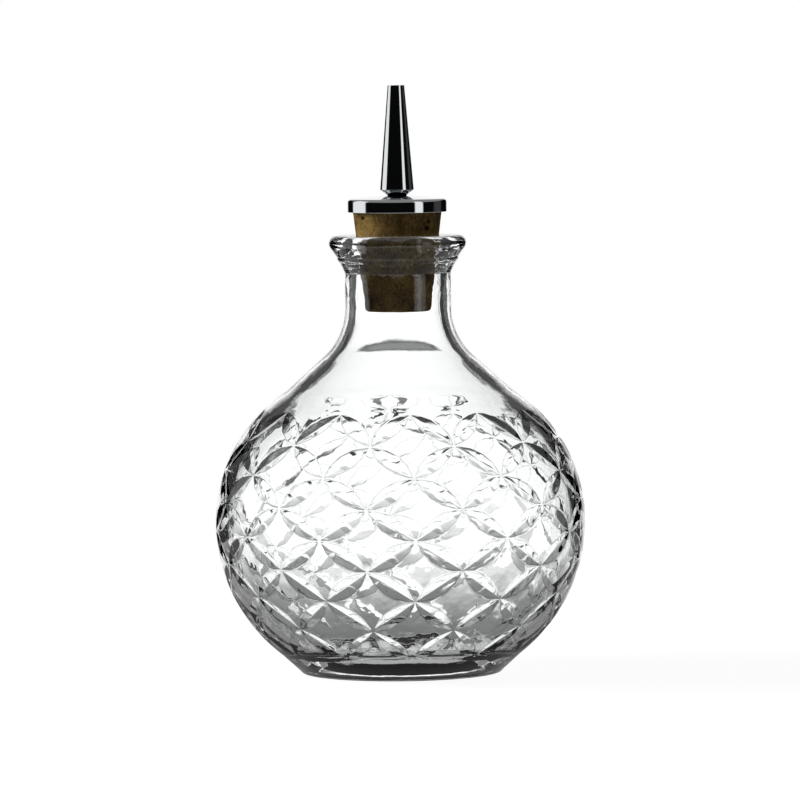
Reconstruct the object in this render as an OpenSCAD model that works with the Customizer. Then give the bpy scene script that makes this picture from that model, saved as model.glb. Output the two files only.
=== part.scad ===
// Bitters bottle: a round glass bottle with a tapered cork stopper, through which a metal dasher spout pours.
// The origin is the centre of the ring that the bottle stands on, +Z is up, and all sizes are in millimetres.

/* [Glass body] */
// Radius of the bottle at its widest
body_r = 45.25; // [42:0.25:50]
// Height of the widest part above the table
widest_z = 37.25; // [34:0.25:40]
// Radius of the round side below the widest part
lower_arc_r = 41; // [39:0.5:43]
// Radius of the round side above the widest part
upper_arc_r = 37.5; // [36:0.5:40]
// Outer radius of the ring that the bottle stands on
foot_r = 23.6; // [22:0.05:25]
// Radius of the rounded edge of the foot
foot_round = 1.5; // [0.5:0.1:2]
// Height over which the heel leans out to meet the round side
heel_h = 5.5; // [2:0.25:8]
// Gain in radius of the heel for each millimetre up
heel_lean = 1.1; // [0.1:0.05:1.5]
// Width of the resting ring
foot_ring_w = 6; // [3:0.5:8]
// Rise of the hollow under the base
push_up = 1.2; // [0.5:0.1:2]
// Thickness of the glass side
wall = 3.2; // [2.2:0.1:4]
// Height of the cavity floor above the table
floor_z = 5; // [4:0.5:10]
// Radius of the shallow dish of the cavity floor
floor_dish_r = 150; // [70:5:250]

/* [Shoulder and neck] */
// Height at which the cut side ends and the plain shoulder starts
shoulder_z = 66; // [64:0.5:68]
// Outer radius of the neck
neck_r = 13; // [12:0.25:14]
// Radius of the hollow curve between shoulder and neck
neck_curve_r = 16; // [14:0.5:17]
// Radius of the same curve on the inside of the glass
inner_curve_r = 20; // [18:0.5:21]
// Height at which the neck becomes straight
neck_z = 89.5; // [87:0.5:92]
// Slope of the plain shoulder, in degrees from upright
shoulder_slope = 48; // [46:1:50]

/* [Lip] */
// Height of the rim above the table
rim_z = 107.2; // [104:0.2:112]
// Radius of the lip at its widest
lip_r = 16.85; // [15.5:0.05:18]
// Radius of the rounded edge of the lip
lip_round = 1.95; // [1.2:0.05:2.2]
// Angle below level at which the underside of the lip leaves its rounded edge
lip_under = 40; // [20:5:50]
// Radius of the bead under the lip
bead_r = 14.9; // [14.2:0.05:15.4]
// Radius of the rounded edge of the bead
bead_round = 1.65; // [1:0.05:2]
// Angle below level at which the underside of the bead leaves its rounded edge
bead_under = 55; // [40:5:60]
// Height below the middle of the bead at which the neck starts to widen
neck_flare_h = 3.8; // [3:0.1:5]
// Drop from the middle of the lip to the middle of the bead
bead_drop = 3.35; // [2.5:0.05:4]
// Rounding of the inner edge of the mouth
mouth_round = 0.8; // [0.3:0.1:1.5]

/* [Cut pattern] */
// Number of crossing points in each row round the bottle
cut_count = 12; // [10:1:13]
// Number of rows of crossing points
cut_rows = 9; // [5:2:9]
// Height of the lowest row of crossing points
cut_z = 6; // [5:0.2:7]
// Plain glass between the top row and the shoulder
cut_top_gap = 0.8; // [0.5:0.1:3]
// Width of each cut at its middle
cut_w = 4.8; // [3:0.1:5]
// Plain glass between the tip of a cut and its crossing point
tip_gap = 0.4; // [0.3:0.05:0.8]
// Turn of the lowest row of crossing points from the front, towards +X
cut_turn = 4.5; // [0:0.5:15]

/* [Cork] */
// Length of the cork
cork_len = 27; // [24:0.5:32]
// Radius of the cork where it meets the rim
cork_seat_r = 10.15; // [9:0.05:11]
// Gain in radius for each millimetre up the cork
cork_taper = 0.12; // [0.06:0.01:0.13]
// Height of the underside of the collar above the rim
collar_lift = 8.4; // [7:0.1:12]
// Cut edge at the top and bottom of the cork
cork_edge = 0.5; // [0.2:0.1:1]

/* [Collar] */
// Outer radius of the collar
collar_r = 12.2; // [11.9:0.1:14]
// Depth of the skirt below the underside of the collar
skirt_h = 2.7; // [1.5:0.1:4]
// Thickness of the collar metal
collar_wall = 0.6; // [0.4:0.05:0.7]
// Rounding of the outer edge of the collar
collar_round = 0.9; // [0.4:0.1:1.2]
// Rise of the collar from its edge to its middle
dome_h = 0.6; // [0.2:0.1:1.2]

/* [Spout] */
// Length of the spout above the collar
spout_len = 27; // [20:0.5:34]
// Radius of the spout at its widest
spout_base_r = 4.15; // [3.6:0.05:5]
// Radius of the spout where it stands on the collar
spout_foot_r = 2.3; // [2.1:0.05:2.6]
// Height of the chamfer under the widest part
chamfer_h = 1.5; // [0.8:0.1:2.2]
// Radius of the spout at its tip
spout_tip_r = 2.05; // [1.8:0.05:2.5]
// Radius of the drop hole in the tip
tip_hole_r = 0.7; // [0.5:0.05:1]
// Length of the drop hole
tip_hole_len = 3; // [2:0.5:5]
// Length of the spigot below the foot of the spout
spigot_len = 5; // [3:0.5:7]

/* [Stem tube] */
// Outer radius of the tube through the cork
tube_r = 2.5; // [2.4:0.05:3]
// Outer radius of the spigot, which the tube's socket takes
spigot_r = 1.9; // [1.8:0.05:2]
// Radius of the bore that the liquid runs through
bore_r = 1.3; // [1.1:0.05:1.4]
// Radius of the flange on top of the cork
flange_r = 5; // [4:0.25:7]
// Thickness of the flange
flange_t = 0.8; // [0.5:0.1:1.2]
// Number of glue grooves round the tube
groove_count = 4; // [1:1:6]
// Depth of each glue groove
groove_depth = 0.25; // [0.1:0.05:0.3]

/* [Fits] */
// Gap between the cork and the mouth of the bottle
mouth_gap = 0.15; // [0.1:0.05:0.3]
// Gap between the head of the cork and the inside of the collar skirt
skirt_gap = 0.2; // [0.15:0.05:0.3]
// Gap round pieces that are pressed or glued together
press_gap = 0.02; // [0.01:0.01:0.05]

/* [Hidden] */
$fn = 96;

// Sizes that are larger than the part, for cuts that go right through.
reach = 2 * body_r;
far = reach + rim_z;
// How far a cut starts outside the surface that it goes through.
over = 1;
// Straight steps in the hollow curve of the neck and in the rounded edge of the collar.
neck_steps = 8;
edge_steps = 6;

// Glass
mouth_r = cork_seat_r + mouth_gap;
lip_z = rim_z - lip_round;
bead_z = lip_z - bead_drop;
// The heel and the flares under the bead and the lip start and end this far inside the shapes that they join.
flare_inset = 0.1;
// The inner shoulder starts this far below the outer one, so that it crosses the round cavity.
inner_drop = 2;
inner_start_z = shoulder_z - inner_drop;
cut_pitch = (shoulder_z - cut_top_gap - cut_z) / (cut_rows - 1);
// The cuts are made in four sets, given as the lowest gap between rows and the way that the cuts lean.
// No two cuts of one set share a crossing point.
cut_sets = [[0, 1], [0, -1], [1, 1], [1, -1]];

// Stopper
collar_z = rim_z + collar_lift;
cork_top = collar_z - flange_t;
cork_bottom = collar_z - cork_len;
skirt_z = collar_z - skirt_h;
collar_top = collar_z + collar_wall + dome_h;
spigot_z = collar_top - spigot_len;
groove_pitch = cork_len / (groove_count + 1);
skirt_bore_r = collar_r - collar_wall;
cork_head_r = skirt_bore_r - skirt_gap;

// Radius at height z of the round side, drawn inwards by t.
function side_r(z, t = 0) = let(a = z < widest_z ? lower_arc_r : upper_arc_r)
    body_r - a + sqrt(pow(a - t, 2) - pow(z - widest_z, 2));

// Point just inside the rounded edge of a disc of radius r, at an angle below level, where a flare ends.
function flare_end(r, round_r, z, angle) =
    [r - round_r, z] + (round_r - flare_inset) * [cos(angle), -sin(angle)];

// Radius of the cork's tapered side at height z.
function cork_r(z) = cork_seat_r + cork_taper * (z - rim_z);

// Points of an arc about c, from angle a to angle b.
function arc(c, r, a, b, n) = [for (i = [0:n]) let(t = a + (b - a) * i / n) c + r * [cos(t), sin(t)]];

// One of the two arcs that make the round side, drawn inwards by t and kept between two heights.
module side_band(r, t, z1, z2) {
    intersection() {
        translate([body_r - r, widest_z]) circle(r = r - t);
        translate([0, z1]) square([reach, z2 - z1]);
    }
}

// Outline of a plain shoulder from height z up, which curves into an upright neck of radius r by an arc of
// radius c, and ends at height top.
module shoulder_outline(z, r, c, top) {
    start = [r + c, neck_z] - c * [cos(shoulder_slope), sin(shoulder_slope)];
    polygon(concat(
        [[0, z], [start.x + (start.y - z) * tan(shoulder_slope), z]],
        arc([r + c, neck_z], c, 180 + shoulder_slope, 180, neck_steps),
        [[r, top], [0, top]]));
}

// Outline of a flare that widens from point p, on an upright side, to point q.
module flare(p, q) {
    polygon([[0, p.y], [p.x - flare_inset, p.y], q, [0, q.y]]);
}

// Outline of the outside of the bottle, to the right of its axis.
module bottle_outline() {
    // The foot, a disc with a round edge, and the heel that leans out from it.
    translate([foot_r, foot_round]) circle(r = foot_round);
    square([foot_r, foot_round]);
    heel_start = flare_end(foot_r + foot_round, foot_round, foot_round, atan(heel_lean));
    polygon([[0, heel_start.y], heel_start, heel_start + heel_h * [heel_lean, 1],
             [0, heel_start.y + heel_h]]);
    side_band(lower_arc_r, 0, foot_round, widest_z);
    // The round side runs on under the plain shoulder, which crosses it.
    side_band(upper_arc_r, 0, widest_z, neck_z);
    shoulder_outline(shoulder_z, neck_r, neck_curve_r, lip_z);
    flare([neck_r, bead_z - neck_flare_h], flare_end(bead_r, bead_round, bead_z, bead_under));
    flare([bead_r, bead_z], flare_end(lip_r, lip_round, lip_z, lip_under));
    // The bead and the lip, each a disc with a round edge.
    translate([bead_r - bead_round, bead_z]) circle(r = bead_round);
    translate([0, bead_z]) square([bead_r, lip_z - bead_z]);
    translate([0, bead_z - bead_round]) square([bead_r - bead_round, bead_round]);
    translate([lip_r - lip_round, lip_z]) circle(r = lip_round);
    translate([0, lip_z - lip_round]) square([lip_r - lip_round, 2 * lip_round]);
}

// Outline of the space inside the bottle, open at the mouth.
module cavity_outline() {
    intersection() {
        side_band(lower_arc_r, wall, floor_z, widest_z);
        translate([0, floor_z + floor_dish_r]) circle(r = floor_dish_r);
    }
    side_band(upper_arc_r, wall, widest_z, neck_z);
    shoulder_outline(inner_start_z, mouth_r, inner_curve_r, rim_z + over);
    // The rounded inner edge of the mouth.
    difference() {
        translate([0, rim_z - mouth_round]) square([mouth_r + mouth_round, mouth_round + over]);
        translate([mouth_r + mouth_round, rim_z - mouth_round]) circle(r = mouth_round);
    }
}

// Crossing point of row i, turned by n half steps.
function crossing(i, n) = let(z = cut_z + i * cut_pitch, t = cut_turn - 90 + n * 180 / cut_count)
    [side_r(z) * cos(t), side_r(z) * sin(t), z];

// Radius of the round side's arc at the height of point p.
function arc_r(p) = p.z < widest_z ? lower_arc_r : upper_arc_r;

// Centre of that arc, in the upright plane through point p.
function arc_centre(p) = let(u = [p.x, p.y, 0]) (body_r - arc_r(p)) * u / norm(u) + [0, 0, widest_z];

// One cut between crossing points p and q: a straight V whose edge runs just under the round side.
// Both ends of the edge come out through the side, so the cut is widest in its middle.
module v_cut(p, q) {
    span = norm(q - p);
    along = (q - p) / span;
    middle = (p + q) / 2;
    spoke = middle - arc_centre(middle);
    level = spoke - (spoke * along) * along;
    out = level / norm(level);
    across = cross(out, along);
    // Height of the round side over the straight line from p to q, and depth of the cut below that side.
    bulge = arc_r(middle) - norm(spoke);
    depth = bulge * pow(1 - 2 * tip_gap / span, 2);
    edge = middle + (bulge - depth) * out;
    h = 2 * bulge;
    w = h * cut_w / 2 / depth;
    multmatrix([[out.x, across.x, along.x, edge.x],
                [out.y, across.y, along.y, edge.y],
                [out.z, across.z, along.z, edge.z],
                [0, 0, 0, 1]])
        linear_extrude(height = span, center = true) polygon([[0, 0], [h, w], [h, -w]]);
}

// One set of cuts: every second gap between rows, all leaning one way.
module cut_set(first_gap, lean) {
    for (g = [first_gap:2:cut_rows - 2])
        for (k = [0:cut_count - 1])
            v_cut(crossing(g, 2 * k + g % 2), crossing(g + 1, 2 * k + g % 2 + lean));
}

// The solid bottle with its first n sets of cuts.
module cut_blank(n) {
    if (n == 0) {
        rotate_extrude() bottle_outline();
    } else {
        difference() {
            cut_blank(n - 1);
            cut_set(cut_sets[n - 1][0], cut_sets[n - 1][1]);
        }
    }
}

module glass_bottle() {
    color("#DDE6E6")
    difference() {
        cut_blank(len(cut_sets));
        rotate_extrude() cavity_outline();
        cylinder(r1 = foot_r - foot_ring_w, r2 = foot_r - foot_ring_w - 2 * push_up, h = push_up);
    }
}

module cork_stopper() {
    color("#B08A4E")
    difference() {
        union() {
            translate([0, 0, cork_bottom])
                cylinder(r1 = cork_r(cork_bottom) - cork_edge, r2 = cork_r(cork_bottom + cork_edge),
                         h = cork_edge);
            translate([0, 0, cork_bottom + cork_edge])
                cylinder(r1 = cork_r(cork_bottom + cork_edge), r2 = cork_r(skirt_z),
                         h = skirt_z - cork_bottom - cork_edge);
            // The head, which the skirt of the collar fits round.
            translate([0, 0, skirt_z]) cylinder(r = cork_head_r, h = skirt_h - cork_edge);
            translate([0, 0, collar_z - cork_edge])
                cylinder(r1 = cork_head_r, r2 = cork_head_r - cork_edge, h = cork_edge);
        }
        translate([0, 0, cork_bottom - over]) cylinder(r = tube_r + press_gap, h = far);
        translate([0, 0, cork_top]) cylinder(r = flange_r + press_gap, h = far);
    }
}

module stem_tube() {
    color("#C9CCCE")
    difference() {
        union() {
            translate([0, 0, cork_bottom]) cylinder(r = tube_r, h = cork_len);
            translate([0, 0, cork_top]) cylinder(r = flange_r, h = flange_t);
        }
        translate([0, 0, cork_bottom - over]) cylinder(r = bore_r, h = far);
        translate([0, 0, spigot_z]) cylinder(r = spigot_r + press_gap, h = far);
        for (i = [1:groove_count])
            translate([0, 0, cork_bottom + i * groove_pitch])
                rotate_extrude()
                    translate([tube_r - groove_depth, -groove_depth])
                        square([groove_depth + over, 2 * groove_depth]);
    }
}

module collar_cap() {
    color("#D7DADC")
    difference() {
        rotate_extrude()
            polygon(concat(
                [[0, skirt_z], [collar_r, skirt_z]],
                arc([collar_r - collar_round, collar_z + collar_wall - collar_round], collar_round,
                    0, 90, edge_steps),
                [[spout_base_r, collar_top], [0, collar_top]]));
        translate([0, 0, skirt_z - over]) cylinder(r = skirt_bore_r, h = skirt_h + over);
        translate([0, 0, skirt_z]) cylinder(r = spigot_r + press_gap, h = far);
    }
}

module spout_cone() {
    color("#D7DADC")
    difference() {
        union() {
            translate([0, 0, spigot_z]) cylinder(r = spigot_r, h = spigot_len + over);
            translate([0, 0, collar_top]) cylinder(r1 = spout_foot_r, r2 = spout_base_r, h = chamfer_h);
            translate([0, 0, collar_top + chamfer_h])
                cylinder(r1 = spout_base_r, r2 = spout_tip_r, h = spout_len - chamfer_h);
        }
        translate([0, 0, spigot_z - over])
            cylinder(r = bore_r, h = over + spigot_len + spout_len - tip_hole_len);
        translate([0, 0, spigot_z]) cylinder(r = tip_hole_r, h = far);
    }
}

glass_bottle();
cork_stopper();
stem_tube();
collar_cap();
spout_cone();
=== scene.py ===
import bmesh
import bpy
import numpy as np
from mathutils import Matrix, Vector


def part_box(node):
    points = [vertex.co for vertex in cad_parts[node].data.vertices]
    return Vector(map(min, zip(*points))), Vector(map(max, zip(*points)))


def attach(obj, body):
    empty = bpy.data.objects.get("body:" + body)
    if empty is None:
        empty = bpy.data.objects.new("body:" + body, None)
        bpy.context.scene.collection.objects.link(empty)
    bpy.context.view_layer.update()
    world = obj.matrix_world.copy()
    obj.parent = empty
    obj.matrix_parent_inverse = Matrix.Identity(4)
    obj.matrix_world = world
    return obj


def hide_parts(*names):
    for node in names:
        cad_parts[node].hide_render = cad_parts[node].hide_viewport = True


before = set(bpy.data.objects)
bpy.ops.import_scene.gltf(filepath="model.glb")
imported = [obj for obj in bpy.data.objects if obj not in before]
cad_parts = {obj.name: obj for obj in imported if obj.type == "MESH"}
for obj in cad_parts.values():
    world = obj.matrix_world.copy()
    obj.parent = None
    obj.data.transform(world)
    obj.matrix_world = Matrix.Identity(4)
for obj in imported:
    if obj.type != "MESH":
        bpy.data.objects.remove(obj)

bl_info = {
    "name": "Bitters bottle",
    "version": (1, 0, 0),
    "blender": (4, 5, 0),
    "location": "View3D > Sidebar > Bottle",
    "description": "Dresses the bitters bottle: cut glass, natural cork and a chromed dasher spout",
    "category": "Add Mesh",
}

MM = 0.001

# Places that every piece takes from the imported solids, in metres.
GLASS_LOW, GLASS_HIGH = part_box("glass_bottle")
CORK_LOW, CORK_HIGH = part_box("cork_stopper")
COLLAR_LOW, COLLAR_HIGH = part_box("collar_cap")
SPOUT_LOW, SPOUT_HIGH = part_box("spout_cone")
TUBE_LOW, TUBE_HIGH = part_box("stem_tube")
RIM_Z = GLASS_HIGH.z


def length(name, description, value):
    """A length property in metres, given here in millimetres."""
    return bpy.props.FloatProperty(
        name=name, description=description, default=value * MM, min=0, precision=5, unit="LENGTH")


def linear(hex_colour):
    """Turns an sRGB hex colour into linear red, green, blue and alpha."""
    srgb = np.array([int(hex_colour[i:i + 2], 16) for i in (1, 3, 5)]) / 255
    rgb = np.where(srgb <= 0.04045, srgb / 12.92, ((srgb + 0.055) / 1.055) ** 2.4)
    return (*rgb.tolist(), 1.0)


def colour(name, description, hex_colour):
    """A colour property, given here as an sRGB hex value."""
    return bpy.props.FloatVectorProperty(
        name=name, description=description, default=linear(hex_colour), size=4, min=0, max=1,
        subtype="COLOR")


class GlassSizes(bpy.types.PropertyGroup):
    body_r: length("Body radius", "Radius of the bottle at its widest", 45.25)
    widest_z: length("Widest height", "Height of the widest part above the table", 37.25)
    lower_arc_r: length("Lower arc", "Radius of the round side below the widest part", 41)
    upper_arc_r: length("Upper arc", "Radius of the round side above the widest part", 37.5)
    foot_r: length("Foot radius", "Outer radius of the ring that the bottle stands on", 23.6)
    foot_round: length("Foot rounding", "Radius of the rounded edge of the foot", 1.5)
    heel_lean: bpy.props.FloatProperty(
        name="Heel lean", description="Gain in radius of the heel for each unit of height", default=1.1)
    foot_ring_w: length("Foot ring", "Width of the resting ring", 6)
    push_up: length("Push-up", "Rise of the hollow under the base", 1.2)
    wall: length("Wall", "Thickness of the glass side", 3.2)
    floor_z: length("Floor", "Height of the cavity floor above the table", 5)
    floor_dish_r: length("Floor dish", "Radius of the shallow dish of the cavity floor", 150)
    shoulder_z: length("Shoulder", "Height at which the plain shoulder starts", 66)
    inner_shoulder_z: length("Inner shoulder", "Height at which the inner shoulder starts", 64)
    shoulder_slope: bpy.props.FloatProperty(
        name="Shoulder slope", description="Slope of the shoulder from upright",
        default=np.radians(48), subtype="ANGLE")
    neck_r: length("Neck radius", "Outer radius of the neck", 13)
    neck_z: length("Neck start", "Height at which the neck becomes straight", 89.5)
    neck_curve_r: length("Neck curve", "Radius of the hollow curve between shoulder and neck", 16)
    inner_curve_r: length("Inner curve", "Radius of that curve on the inside of the glass", 20)
    mouth_r: length("Mouth radius", "Inner radius of the neck", 10.3)
    mouth_round: length("Mouth rounding", "Rounding of the inner edge of the mouth", 0.8)
    lip_r: length("Lip radius", "Radius of the lip at its widest", 16.85)
    lip_round: length("Lip rounding", "Radius of the rounded edge of the lip", 1.95)
    bead_r: length("Bead radius", "Radius of the bead under the lip", 14.9)
    bead_round: length("Bead rounding", "Radius of the rounded edge of the bead", 1.65)
    bead_drop: length("Bead drop", "Drop from the middle of the lip to the middle of the bead", 3.35)
    neck_flare_h: length("Neck flare", "Height below the bead at which the neck widens", 3.8)
    blend: length("Shoulder blend", "Difference of radius over which the shoulder flows into the side", 0.6)
    tint: colour("Glass tint", "Colour of thick clear glass", "#FEFFFF")
    # Painted shade: this dark tint is painted along the rim of each cut, in place of the dark that the rounded rim
    # gives by bending light.
    rim_painted_shade: colour("Cut rim", "Colour of the thin dark line that each rim of a cut shows", "#84898A")


class CutSizes(bpy.types.PropertyGroup):
    count: bpy.props.IntProperty(
        name="Count", description="Crossing points in each row round the bottle", default=12, min=3)
    rows: bpy.props.IntProperty(name="Rows", description="Rows of crossing points", default=9, min=3)
    lowest_z: length("Lowest row", "Height of the lowest row of crossing points", 6)
    top_gap: length("Top gap", "Plain glass between the top row and the shoulder", 0.8)
    width: length("Cut width", "Width of each cut at its middle", 4.8)
    tip_gap: length("Tip gap", "Plain glass between the tip of a cut and its crossing point", 0.4)
    soft_edge: length("Soft edge", "Depth over which the edge of a cut is rounded", 0.03)
    lip: length("Rim drop", "Small extra step at the rim of a cut", 0.05)
    soft_valley: length("Soft valley", "Rounding at the bottom of a cut", 0.05)
    turn: bpy.props.FloatProperty(
        name="Turn", description="Turn of the lowest row from the front, towards +X",
        default=np.radians(4.5), subtype="ANGLE")


class StopperSizes(bpy.types.PropertyGroup):
    cork_seat_r: length("Cork radius", "Radius of the cork where it meets the rim", 10.15)
    cork_taper: bpy.props.FloatProperty(
        name="Cork taper", description="Gain in radius for each unit of height", default=0.12)
    cork_edge: length("Cork edge", "Cut edge at the ends of the cork", 0.5)
    tube_r: length("Tube radius", "Outer radius of the tube through the cork", 2.5)
    flange_t: length("Flange", "Thickness of the tube's flange on top of the cork", 0.8)
    pore_count: bpy.props.IntProperty(
        name="Pores", description="Number of open pores in the side of the cork", default=70, min=0)
    collar_wall: length("Collar wall", "Thickness of the collar metal", 0.6)
    collar_lift: length("Collar lift", "Height of the underside of the collar above the rim", 8.4)
    collar_round: length("Collar rounding", "Rounding of the outer edge of the collar", 0.9)
    spout_base_r: length("Spout radius", "Radius of the spout at its widest", 4.15)
    spout_foot_r: length("Spout foot", "Radius of the spout where it stands on the collar", 2.3)
    chamfer_h: length("Spout chamfer", "Height of the chamfer under the widest part", 1.5)
    spout_len: length("Spout length", "Length of the spout above the collar", 27)
    spout_tip_r: length("Spout tip", "Radius of the spout at its tip", 2.05)
    tip_hole_r: length("Drop hole", "Radius of the drop hole in the tip", 0.7)
    tip_hole_len: length("Drop hole length", "Length of the drop hole", 3)
    spigot_r: length("Spigot", "Outer radius of the spigot under the spout", 1.9)
    bore_r: length("Bore", "Radius of the bore that the liquid runs through", 1.3)
    press_gap: length("Press gap", "Gap round pieces that are pressed together", 0.02)
    cork_light: colour("Cork", "Main colour of the cork", "#846C3E")
    cork_dark: colour("Cork grain", "Colour of the darker grain of the cork", "#40301B")
    # The pores are painted dark: partly the cork's own dark pore channels, partly painted shade in the hollows.
    pore_colour_and_shade: colour("Cork pores", "Colour inside the pores", "#2B190C")


class StageSettings(bpy.types.PropertyGroup):
    camera_y: length("Camera distance", "Distance of the camera from the bottle's axis", 1683)
    camera_z: length("Camera height", "Height of the camera above the table", 167)
    aim_x: length("Aim across", "Sideways place that the camera looks at", 0.2)
    aim_z: length("Aim height", "Height that the camera looks at", 66.8)
    roll: bpy.props.FloatProperty(
        name="Camera roll", description="Turn of the camera about its line of sight",
        default=np.radians(0.6), subtype="ANGLE")
    lens: bpy.props.FloatProperty(
        name="Lens", description="Focal length in millimetres", default=310, min=1)
    board_r: length("Board", "Radius of the white board that the bottle stands on", 450)
    board_back: length("Board's back edge", "Distance from the bottle's axis to the board's back edge", 240)
    # Painted shade and painted light: seen through glass the board glows by itself, grey beside the bottle in place
    # of the shade there, and lighter under the foot in place of the light that the glass gathers.
    board_dark_r: length("Shaded board", "Radius of the shaded middle of the board", 65)
    board_light_r: length("Light board", "Radius beyond which the board is plain white", 260)
    painted_board_shade: bpy.props.FloatProperty(
        name="Board shade", description="Brightness of the board beside the bottle, seen through glass",
        default=0.24, min=0, max=1)
    painted_foot_light: bpy.props.FloatProperty(
        name="Foot light", description="Brightness of the board under the foot, where glass gathers light",
        default=0.42, min=0, max=1)


class BottleSettings(bpy.types.PropertyGroup):
    glass: bpy.props.PointerProperty(type=GlassSizes)
    cuts: bpy.props.PointerProperty(type=CutSizes)
    stopper: bpy.props.PointerProperty(type=StopperSizes)
    stage: bpy.props.PointerProperty(type=StageSettings)


def add(tree, kind, inputs=None, **settings):
    """Adds a shader node with its settings, and gives each named input a value or a link."""
    node = tree.nodes.new("ShaderNode" + kind)
    for name, value in settings.items():
        setattr(node, name, value)
    for name, value in (inputs or {}).items():
        if isinstance(value, bpy.types.NodeSocket):
            tree.links.new(value, node.inputs[name])
        else:
            node.inputs[name].default_value = value
    return node


def new_material(name):
    """An empty node material, and its output node."""
    material = bpy.data.materials.new(name)
    material.use_nodes = True
    material.node_tree.nodes.clear()
    return material, add(material.node_tree, "OutputMaterial")


def new_piece(name, points, quads, material, triangles=np.zeros((0, 3), int), **values):
    """Makes a mesh object from arrays of points and faces, with points that meet merged.

    Quads that lose a corner in the merge, at a pole, become triangles. Further arrays by name, one number for each
    point, become attributes of the mesh.
    """
    mesh = bpy.data.meshes.new(name)
    mesh.vertices.add(len(points))
    mesh.vertices.foreach_set("co", points.astype(np.float32).ravel())
    mesh.loops.add(quads.size + triangles.size)
    mesh.loops.foreach_set("vertex_index", np.r_[quads.ravel(), triangles.ravel()].astype(np.int32))
    mesh.polygons.add(len(quads) + len(triangles))
    starts = np.r_[4 * np.arange(len(quads)), quads.size + 3 * np.arange(len(triangles))]
    mesh.polygons.foreach_set("loop_start", starts.astype(np.int32))
    mesh.update(calc_edges=True)
    for attribute, numbers in values.items():
        mesh.attributes.new(attribute, "FLOAT", "POINT").data.foreach_set("value", numbers.astype(np.float32))
    merged = bmesh.new()
    merged.from_mesh(mesh)
    bmesh.ops.remove_doubles(merged, verts=merged.verts, dist=1e-6)
    merged.to_mesh(mesh)
    merged.free()
    mesh.polygons.foreach_set("use_smooth", np.ones(len(mesh.polygons), bool))
    mesh.materials.append(material)
    mesh.update()
    piece = bpy.data.objects.new(name, mesh)
    bpy.context.scene.collection.objects.link(piece)
    return piece


def grid_quads(rows, columns, first=0, closed=False):
    """Quads of a grid of points numbered row by row from first. A closed grid joins its last column to its first."""
    across = columns if closed else columns - 1
    i, j = np.meshgrid(np.arange(rows - 1), np.arange(across), indexing="ij")
    k = (j + 1) % columns
    corners = [i * columns + j, i * columns + k, (i + 1) * columns + k, (i + 1) * columns + j]
    return first + np.stack(corners, -1).reshape(-1, 4)


def turned(profile, angles):
    """Turns a profile of (radius, height) points about the Z axis: one row of points for each profile point."""
    r, z = profile[:, None, 0], profile[:, None, 1]
    return np.stack([r * np.cos(angles), r * np.sin(angles), z + 0 * angles], -1)


def arc(centre, radius, start, end, steps=40):
    """Points of an arc about centre, with its angles in degrees from the +r direction towards +z."""
    t = np.radians(np.linspace(start, end, steps))
    return np.array(centre) + radius * np.stack([np.cos(t), np.sin(t)], -1)


def softened(profile, reach, most_turn=6, most_step=3 * MM):
    """Rounds the corners of a profile and gives it points where it turns.

    The profile is read at equal steps of its length, and each point becomes the mean of its neighbours within
    reach, weighted by a raised cosine. Points are then kept so that the sum of their share of the greatest turn, in
    degrees, and of the greatest step, is the same from each to the next.
    """
    profile = np.array(profile, float)
    keep = np.r_[True, np.hypot(*np.diff(profile, axis=0).T) > 1e-9]
    profile = profile[keep]
    lengths = np.r_[0, np.cumsum(np.hypot(*np.diff(profile, axis=0).T))]
    step = reach / 8
    at = np.linspace(0, lengths[-1], int(lengths[-1] / step) + 2)
    fine = np.stack([np.interp(at, lengths, profile[:, k]) for k in (0, 1)], -1)
    half = 8
    before = 2 * fine[0] - fine[half:0:-1]
    after = 2 * fine[-1] - fine[-2:-half - 2:-1]
    longer = np.concatenate([before, fine, after])
    weight = 1 + np.cos(np.linspace(-np.pi, np.pi, 2 * half + 1))
    weight /= weight.sum()
    smooth = np.stack([np.convolve(longer[:, k], weight, "valid") for k in (0, 1)], -1)
    steps = np.diff(smooth, axis=0)
    heading = np.unwrap(np.arctan2(steps[:, 1], steps[:, 0]))
    turn = np.r_[0, np.abs(np.degrees(np.diff(heading)))]
    share = np.r_[0, np.cumsum(turn / most_turn + np.hypot(*steps.T) / most_step)]
    wanted = np.linspace(0, share[-1], int(np.ceil(share[-1])) + 1)
    return np.stack([np.interp(wanted, share, smooth[:, k]) for k in (0, 1)], -1)


def zipped(ring_a, angles_a, ring_b, angles_b):
    """Triangles between two closed rings of different counts.

    Each edge of one ring is joined to the point of the other ring that lies in front of the edge's middle.
    """
    def fans(ring, angles, other, other_angles, flip):
        n, m = len(ring), len(other)
        middle = angles + ((np.roll(angles, -1) - angles) % (2 * np.pi)) / 2
        others = other_angles + ((np.roll(other_angles, -1) - other_angles) % (2 * np.pi)) / 2
        first = others[0]
        place = np.searchsorted((others - first) % (2 * np.pi), (middle - first) % (2 * np.pi))
        apex = other[place % m]
        near, far = ring, np.roll(ring, -1)
        return np.stack([far, near, apex] if flip else [near, far, apex], -1)
    return np.concatenate([
        fans(ring_a, angles_a, ring_b, angles_b, False),
        fans(ring_b, angles_b, ring_a, angles_a, True)])


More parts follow.
